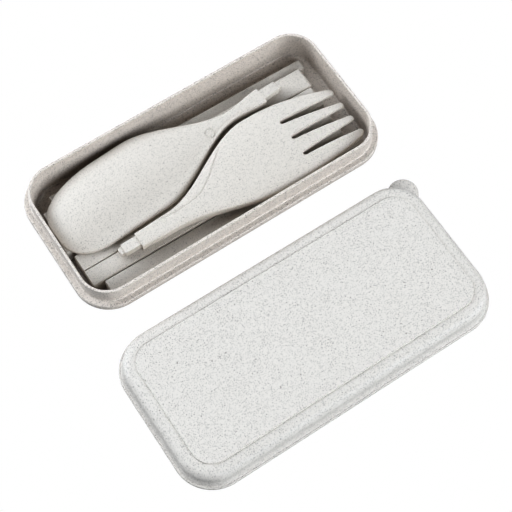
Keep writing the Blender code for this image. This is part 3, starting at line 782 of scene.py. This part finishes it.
# %% Spoon section
SPOON_LENGTH = 0.1030
BOWL_WIDTH = 0.0320
BOWL_NOSE = 0.0320
BOWL_NOSE_POWER = 3.0
NOSE_SET = 0.0014
NOSE_SET_END = 0.0260
BOWL_SHOULDER = 0.0400
BOWL_END = 0.0800
BOWL_WALL = 0.0015
BOWL_EDGE = 0.0012
DOME_POWER = 2.2
HOLLOW_POWER = 2.4
HOLLOW_SIDE_POWER = 0.7
DOME_SIDE_POWER = 0.8
NOSE_RISE_POWER = 0.6
HOLLOW_LEAST_SHARE = 0.2
HOLLOW_END = 0.0720
SPOON_NECK_WIDTH = 0.0042
SPOON_COLLAR_WIDTH = 0.0068
NECK_CAMBER = 0.0008
NECK_POWER = 4.0
COLLAR_POWER = 9.0
collar_end = SPOON_LENGTH - HEAD_END


def spoon_half_width(place):
    """Half the spoon's width at a distance from its tip."""
    widest = BOWL_WIDTH / 2
    neck = SPOON_NECK_WIDTH / 2
    if place < BOWL_NOSE:
        return widest * (1 - (1 - place / BOWL_NOSE) ** BOWL_NOSE_POWER) ** (1 / BOWL_NOSE_POWER)
    drawn = ease(BOWL_SHOULDER, BOWL_END, widest, neck, place)
    return drawn + ease(BOWL_END, collar_end, 0.0, SPOON_COLLAR_WIDTH / 2 - neck, place)


def spoon_ring(place):
    """The spoon's section: a domed shell over its hollow, closing to a solid neck."""
    half = spoon_half_width(place)
    collar = HEAD_FLOOR + COLLAR_HEIGHT
    crown = HEAD_FLOOR + HEAD_RISE
    nose = 1 - max(0.0, 1 - place / BOWL_NOSE) ** BOWL_NOSE_POWER
    top_crown = HEAD_FLOOR + BOWL_EDGE + (HEAD_RISE - BOWL_EDGE) * nose ** NOSE_RISE_POWER
    if place > BOWL_NOSE:
        top_crown = ease(BOWL_NOSE, BOWL_END, crown, collar, place)
    hollow = max(0.0, top_crown - BOWL_WALL - HEAD_FLOOR)
    hollow *= ease(BOWL_SHOULDER, HOLLOW_END, 1.0, 0.0, place)
    edge_rise = ease(BOWL_SHOULDER, BOWL_END, BOWL_EDGE, COLLAR_HEIGHT - NECK_CAMBER, place)
    middle = ease(0.0, NOSE_SET_END, -NOSE_SET, 0.0, place)
    inner = max(half - BOWL_WALL, half * HOLLOW_LEAST_SHARE)
    ring = [(middle - half, HEAD_FLOOR)]
    for index in range(1, SECTION_STEPS):
        spread = -math.cos(math.pi * (index - 1) / (SECTION_STEPS - 2))
        rise = (1 - abs(spread) ** HOLLOW_POWER) ** HOLLOW_SIDE_POWER
        ring.append((middle + inner * spread, HEAD_FLOOR + hollow * rise))
    ring.append((middle + half, HEAD_FLOOR))
    power = ease(BOWL_SHOULDER, BOWL_END, DOME_POWER, NECK_POWER, place)
    power += ease(BOWL_END, collar_end, 0.0, COLLAR_POWER - NECK_POWER, place)
    low = HEAD_FLOOR + edge_rise
    for share in reversed(shares_across()):
        dome = (1 - abs(share) ** power) ** DOME_SIDE_POWER
        ring.append((middle + half * share, low + (top_crown - low) * dome))
    return ring


print("a spoon section has", len(spoon_ring(BOWL_SHOULDER)), "points")

# %% [markdown]
# ## Spoon head
# The sections stand close together round the nose, where the outline turns fast. After softening, the
# collar is cut square, the ring that the mould's gate leaves on the neck is pressed in, and the plug is
# joined on.

# %% Spoon head
NOSE_STATIONS = 24
BODY_STATIONS = 50
SPOON_VOXEL = 0.00028
SPOON_TENON_LENGTH = 0.0070
SPOON_TURN = math.radians(3.75)
SPOON_TIP_GAP = 0.0003
SPOON_WALL_GAP = 0.0057
GATE_PLACE = (0.0685, -0.0018)
GATE_RADIUS = 0.00165
GATE_DEPTH = 0.00040


def gate_mark(x, y):
    """Distance from the ring that the mould's gate leaves on the spoon's neck."""
    return math.hypot(x - GATE_PLACE[0], y - GATE_PLACE[1]) - GATE_RADIUS, 1.0


spoon_places = [BOWL_NOSE * (1 - math.cos(math.pi / 2 * step / NOSE_STATIONS))
                for step in range(1, NOSE_STATIONS + 1)]
spoon_places += [BOWL_NOSE + (collar_end - BOWL_NOSE) * step / BODY_STATIONS
                 for step in range(1, BODY_STATIONS + 1)]
spoon_places.append(collar_end + COLLAR_SPARE)
spoon_mesh = soften(place_rings(spoon_places, spoon_ring), SPOON_VOXEL)
spoon_mesh = trim_end(spoon_mesh, 0.0, collar_end, collar_end + 2 * COLLAR_SPARE)
press_groove(spoon_mesh, gate_mark, GATE_DEPTH)
spoon_mesh = combine(spoon_mesh, plug(0.0, collar_end, 1, SPOON_TENON_LENGTH), "UNION")
SPOON_PLACE = TRAY_PLACE + Vector((-INNER_LENGTH / 2 + SPOON_TIP_GAP,
                                   INNER_WIDTH / 2 - BOWL_WIDTH / 2 - SPOON_WALL_GAP, 0.0))
hand_over("spoon_shell", spoon_mesh, cutlery_plastic, "spoon_head", SPOON_PLACE, SPOON_TURN, HEAD_SHARP)

# %% [markdown]
# ## Fork section
# The fork also lies back up, with its neck towards the spoon's tip. Its section starts as a solid neck,
# opens into a thin crowned palm and bends down to the tips. The neck lies to one side of the palm, so
# the middle line eases across as well.

# %% Fork section
FORK_LENGTH = 0.1033
PALM_WIDTH = 0.0328
FORK_NECK_WIDTH = 0.0070
FLARE_START = 0.0220
FLARE_END = 0.0660
TAPER_START = 0.0697
TAPER_POWER = 1.7
NECK_SET = 0.0041
TIPS_SET = 0.0009
PALM_THICKNESS = 0.0022
PALM_WALL_GAP = 0.0004
PALM_CAMBER = 0.0026
PALM_POWER = 2.0
TINE_LENGTH = 0.0265
TINE_BEND_POWER = 1.6
TIPS_SPREAD = 0.0221
TIP_THICKNESS = 0.0013
TIP_CAMBER = 0.0003


def fork_middle(place):
    """The fork's middle line across the tray at a distance from the nib's end."""
    palm = -INNER_WIDTH / 2 + PALM_WALL_GAP + PALM_WIDTH / 2
    neck = ease(FLARE_START, FLARE_END, NECK_SET, 0.0, place)
    return palm - neck - ease(FLARE_END, FORK_LENGTH, 0.0, TIPS_SET, place)


def fork_half_width(place):
    """Half the fork's width at a distance from the nib's end."""
    neck = ease(HEAD_END, FLARE_START, COLLAR_WIDTH / 2, FORK_NECK_WIDTH / 2, place)
    wide = neck + ease(FLARE_START, FLARE_END, 0.0, PALM_WIDTH / 2 - FORK_NECK_WIDTH / 2, place)
    share = max(0.0, (place - TAPER_START) / (FORK_LENGTH - TAPER_START))
    return wide - (PALM_WIDTH - TIPS_SPREAD) / 2 * share ** TAPER_POWER


def fork_ring(place):
    """The fork's section: a solid neck opening into a thin crowned palm that bends down to the tips."""
    root = FORK_LENGTH - TINE_LENGTH
    opened = smooth_step((place - FLARE_START) / (FLARE_END - FLARE_START))
    bend = min(1.0, max(0.0, (place - root) / TINE_LENGTH))
    drop = (HEAD_RISE - TIP_THICKNESS) * bend ** TINE_BEND_POWER
    top = HEAD_FLOOR + ease(HEAD_END, root, COLLAR_HEIGHT, HEAD_RISE, place) - drop
    camber = ease(FLARE_START, FLARE_END, NECK_CAMBER, PALM_CAMBER, place)
    camber += (TIP_CAMBER - PALM_CAMBER) * bend
    thickness = PALM_THICKNESS + (TIP_THICKNESS - PALM_THICKNESS) * bend
    bottom = HEAD_FLOOR + (top - thickness - HEAD_FLOOR) * opened
    bottom_edge = HEAD_FLOOR + (max(top - camber - thickness, HEAD_FLOOR) - HEAD_FLOOR) * opened
    power = ease(FLARE_START, FLARE_END, NECK_POWER, PALM_POWER, place)
    power += ease(HEAD_END, FLARE_START, COLLAR_POWER - NECK_POWER, 0.0, place)
    return section(fork_middle(place), fork_half_width(place), bottom_edge, bottom, top - camber, top, power)


print("a fork section has", len(fork_ring(FLARE_END)), "points")

# %% [markdown]
# ## Comb
# The tines are what is left when a flat comb shape is cut out of the palm's end. The comb has a round
# root in each slot and a round end for each tip, so the tines taper between the two by themselves.

# %% Comb
TINES = 4
SLOT_WIDTH = 0.0017
SLOT_PITCH = 0.0076
TINE_TIP_WIDTH = 0.0024
TINE_TRIM = 0.0009
COMB_HEIGHTS = (0.004, 0.020)


def comb_outline():
    """Outline of the cutter: slots with round roots between round tips."""
    root = FORK_LENGTH - TINE_LENGTH
    end = FORK_LENGTH - TINE_TRIM
    tip_radius = TINE_TIP_WIDTH / 2
    tip_pitch = (TIPS_SPREAD - TINE_TIP_WIDTH) / (TINES - 1)
    far = FORK_LENGTH + TINE_TIP_WIDTH
    side = fork_half_width(root) + 3 * TINE_TIP_WIDTH
    shift = fork_middle(FORK_LENGTH)
    points = [(far, -side), (end - tip_radius, -side)]
    for tine in range(TINES):
        tip = (tine - (TINES - 1) / 2) * tip_pitch
        points += arc((end - tip_radius, shift + tip), tip_radius, -90, 90, 16)
        if tine < TINES - 1:
            slot = (tine + 0.5 - (TINES - 1) / 2) * SLOT_PITCH + shift
            points += arc((root + SLOT_WIDTH / 2, slot), SLOT_WIDTH / 2, -90, -270, 12)
    return points + [(end - tip_radius, side), (far, side)]


comb_skin = loft([[(x, y, z) for x, y in comb_outline()] for z in COMB_HEIGHTS])
print("comb for", TINES, "tines")

# %% [markdown]
# ## Fork head
# The comb is cut out before the softening, so that the tines' edges are rounded with the rest. A fine
# mould line follows the far side of the palm. The collar and the plug are made as on the spoon.

# %% Fork head
FORK_STATIONS = 90
FORK_VOXEL = 0.00026
FORK_TENON_LENGTH = 0.0064
FORK_COLLAR_END = 0.0086
FORK_TIP_GAP = 0.0019
# Distance from the nib's end, and from the tray's middle line
BORDER_LINE = ((0.0175, -0.0121), (0.0261, -0.0126), (0.0337, -0.0121), (0.0377, -0.0110),
               (0.0433, -0.0073), (0.0481, -0.0030), (0.0530, 0.0010))
BORDER_DEPTH = 0.00028


def border_mark(x, y):
    """Distance from the fine line along the far side of the fork's palm, and how strong it is there."""
    height, inside = follow(BORDER_LINE, x)
    return y - height, inside


fork_places = [FORK_COLLAR_END - COLLAR_SPARE]
fork_places += [HEAD_END + (FORK_LENGTH + SOFT_EDGE - HEAD_END) * step / FORK_STATIONS
                for step in range(FORK_STATIONS + 1)]
fork_skin = place_rings(fork_places, fork_ring)
fork_mesh = soften(combine(fork_skin, comb_skin, "DIFFERENCE"), FORK_VOXEL)
press_groove(fork_mesh, border_mark, BORDER_DEPTH)
neck_middle = fork_middle(0.0)
fork_mesh = trim_end(fork_mesh, neck_middle, FORK_COLLAR_END - 2 * COLLAR_SPARE, FORK_COLLAR_END)
fork_mesh = combine(fork_mesh, plug(neck_middle, FORK_COLLAR_END, -1, FORK_TENON_LENGTH), "UNION")
FORK_PLACE = TRAY_PLACE + Vector((INNER_LENGTH / 2 - FORK_TIP_GAP - FORK_LENGTH, 0.0, 0.0))
hand_over("fork_shell", fork_mesh, cutlery_plastic, "fork_head", FORK_PLACE, 0.0, HEAD_SHARP)

# %% [markdown]
# ## Bar tree
# Six bars lie on the tray's floor under the two heads: two wide handles, two narrow handles and two
# tapered tips. Each is a section swept along a straight path and closed by a soft butt. A handle has a
# square socket in its left end, and a tip has a square tenon there. One Geometry Nodes tree makes all
# six, because only their sizes differ: the path carries the taper as a radius at each point, and one
# block is either cut away as a socket or joined on as a tenon.

# %% Bar tree
def swept_section(tree, path, width, height, radius, bar_height):
    """Nodes that sweep a rectangle with soft corners along a path, at the middle of the bar's height."""
    outline = add_node(tree, "GeometryNodeCurvePrimitiveQuadrilateral")
    corners = add_node(tree, "GeometryNodeFilletCurve", mode="POLY", Count=4)
    half = add_node(tree, "ShaderNodeMath", operation="MULTIPLY")
    half.inputs[1].default_value = -0.5
    lift = add_node(tree, "ShaderNodeCombineXYZ")
    raised = add_node(tree, "GeometryNodeTransform")
    sweep = add_node(tree, "GeometryNodeCurveToMesh", **{"Fill Caps": True})
    link(tree, width, outline.inputs["Width"])
    link(tree, height, outline.inputs["Height"])
    link(tree, outline.outputs["Curve"], corners.inputs["Curve"])
    link(tree, radius, corners.inputs["Radius"])
    link(tree, bar_height, half.inputs[0])
    link(tree, half.outputs["Value"], lift.inputs["Y"])
    link(tree, corners.outputs["Curve"], raised.inputs["Geometry"])
    link(tree, lift.outputs["Vector"], raised.inputs["Translation"])
    link(tree, path, sweep.inputs["Curve"])
    link(tree, raised.outputs["Geometry"], sweep.inputs["Profile Curve"])
    size = add_node(tree, "GeometryNodeInputRadius")
    link(tree, size.outputs["Radius"], sweep.inputs["Scale"])
    return sweep.outputs["Mesh"]


def bar_tree():
    """Node tree of a bar: a swept section with a square socket in its end, or a square tenon on it."""
    tree, given = new_tree("moulded_bar", (
        ("Path", "Object"), ("Width", "Float"), ("Height", "Float"), ("Edge Radius", "Float"),
        ("Plug Start", "Float"), ("Plug End", "Float"), ("Plug Width", "Float"),
        ("Plug Height", "Float"), ("Tenon", "Bool"), ("Material", "Material")))
    path = add_node(tree, "GeometryNodeObjectInfo")
    link(tree, given["Path"], path.inputs["Object"])
    body = swept_section(tree, path.outputs["Geometry"], given["Width"], given["Height"],
                         given["Edge Radius"], given["Height"])
    start = add_node(tree, "ShaderNodeCombineXYZ")
    end = add_node(tree, "ShaderNodeCombineXYZ")
    link(tree, given["Plug Start"], start.inputs["X"])
    link(tree, given["Plug End"], end.inputs["X"])
    line = add_node(tree, "GeometryNodeCurvePrimitiveLine")
    link(tree, start.outputs["Vector"], line.inputs["Start"])
    link(tree, end.outputs["Vector"], line.inputs["End"])
    block = swept_section(tree, line.outputs["Curve"], given["Plug Width"], given["Plug Height"],
                          given["Edge Radius"], given["Height"])
    socketed = add_node(tree, "GeometryNodeMeshBoolean", operation="DIFFERENCE", solver="EXACT")
    link(tree, body, socketed.inputs["Mesh 1"])
    link(tree, block, socketed.inputs["Mesh 2"])
    tenoned = add_node(tree, "GeometryNodeMeshBoolean", operation="UNION", solver="EXACT")
    link(tree, body, tenoned.inputs["Mesh 2"])
    link(tree, block, tenoned.inputs["Mesh 2"])
    choice = add_node(tree, "GeometryNodeSwitch", input_type="GEOMETRY")
    link(tree, given["Tenon"], choice.inputs["Switch"])
    link(tree, socketed.outputs["Mesh"], choice.inputs["False"])
    link(tree, tenoned.outputs["Mesh"], choice.inputs["True"])
    finish_tree(tree, choice.outputs["Output"], given["Material"])
    return tree


BAR_TREE = bar_tree()
print(BAR_TREE.name, "has", len(BAR_TREE.nodes), "nodes")

# %% [markdown]
# ## One bar
# A bar's path is a straight line with a radius at each point. The radius starts slightly small for a soft
# end, shrinks evenly where the bar tapers, and follows a quarter circle down round the butt.

# %% One bar
BAR_FLOOR = 0.0017
BAR_HEIGHT = 0.0068
BAR_EDGE = 0.0005
BUTT_RADIUS = 0.0016
TIP_END_SHARE = 0.78
BAR_SHARP = 35.0


def bar_path(length, width, end_share):
    """Straight path of a bar; its radius draws the section in towards the end and round the butt."""
    soft = SOFT_EDGE / width * 2
    points = [((0.0, 0.0, 0.0), 1.0 - soft), ((SOFT_EDGE, 0.0, 0.0), 1.0)]
    for x, y in arc((length - BUTT_RADIUS, 0.0), BUTT_RADIUS, 90, 0, 8):
        points.append(((x, 0.0, 0.0), end_share - (BUTT_RADIUS - y) * 2 / width))
    return add_line("bar_path", points)


def add_bar(node, length, width, height, place, turn, block, tenon):
    """One bar, lying along the tray, that stands for a node of the solid model."""
    path = bar_path(length, width, TIP_END_SHARE if tenon else 1.0)
    block_width, block_height, block_length = block
    mesh = apply_tree(BAR_TREE, {"Path": path, "Width": width, "Height": height, "Edge Radius": BAR_EDGE,
                                 "Plug Start": -block_length if tenon else -SOFT_EDGE,
                                 "Plug End": BUTT_RADIUS if tenon else block_length,
                                 "Plug Width": block_width, "Plug Height": block_height, "Tenon": tenon})
    bpy.data.objects.remove(path, do_unlink=True)
    hand_over(node + "_bar", mesh, cutlery_plastic, node, place, turn, BAR_SHARP)


# %% [markdown]
# ## Row of bars
# From the near wall to the far one lie a tip, the two narrow handles, a wider gap, the two wide handles
# and the other tip. Each tip is turned by half its taper, so its inner side lies along its neighbour.

# %% Row of bars
WIDE_BAR_WIDTH = 0.0090
NARROW_BAR_WIDTH = 0.00685
WIDE_BAR_PLAY = 0.0078
NARROW_BAR_PLAY = 0.0105
SPOON_HANDLE_SET = 0.0011
FORK_HANDLE_SET = 0.0005
NARROW_BAR_SET = 0.0021
BAR_ROW_GAP = 0.0023
BAR_GAP = 0.0003
PLUG_GAP = 0.0002
SOCKET_SPARE = 0.0006
TIP_WIDTH = 0.0054
TIP_HEIGHTS = (0.0066, 0.0054)
TIP_TENON_WIDTH = 0.0040
TIP_TENON_SHARE = 0.85
TIP_TENON_LENGTH = 0.0036
TIP_SET = 0.0064
TIP_PLAY = 0.0098
TIP_WALL_GAP = 0.0020

left_end = TRAY_PLACE.x - INNER_LENGTH / 2
head_socket = (TENON_WIDTH + 2 * PLUG_GAP, TENON_HEIGHT + 2 * PLUG_GAP, HEAD_END + SOCKET_SPARE)
tip_socket = (TIP_TENON_WIDTH + 2 * PLUG_GAP, TIP_HEIGHTS[1] * TIP_TENON_SHARE + 2 * PLUG_GAP,
              TIP_TENON_LENGTH + SOCKET_SPARE)
narrow = (INNER_LENGTH - NARROW_BAR_PLAY, NARROW_BAR_WIDTH)
wide = (INNER_LENGTH - WIDE_BAR_PLAY, WIDE_BAR_WIDTH)
# Node, length and width, distance from the tray's end wall, gap before it, and socket
handles = (("chopstick_handle_1", narrow, NARROW_BAR_SET, BAR_GAP, tip_socket),
           ("chopstick_handle_2", narrow, NARROW_BAR_SET, BAR_GAP, tip_socket),
           ("fork_handle", wide, FORK_HANDLE_SET, BAR_ROW_GAP, head_socket),
           ("spoon_handle", wide, SPOON_HANDLE_SET, BAR_GAP, head_socket))


def add_tip(number, edge, side):
    """One tapered tip beside an edge of the row, on the near side (-1) or the far side (1)."""
    length = INNER_LENGTH - TIP_PLAY
    turn = math.atan2(TIP_WIDTH * (1 - TIP_END_SHARE) / 2, length)
    height = TIP_HEIGHTS[number - 1]
    middle = edge + side * (BAR_GAP + TIP_WIDTH / 2)
    add_bar(f"chopstick_tip_{number}", length, TIP_WIDTH, height, (left_end + TIP_SET, middle, BAR_FLOOR),
            -side * turn, (TIP_TENON_WIDTH, height * TIP_TENON_SHARE, TIP_TENON_LENGTH), True)


across = TRAY_PLACE.y - INNER_WIDTH / 2 + TIP_WALL_GAP + TIP_WIDTH + BAR_GAP
add_tip(1, across, -1)
across -= BAR_GAP
for node, (length, width), end_set, gap, socket in handles:
    across += gap
    add_bar(node, length, width, BAR_HEIGHT, (left_end + end_set, across + width / 2, BAR_FLOOR), 0.0,
            socket, False)
    across += width
add_tip(2, across, 1)
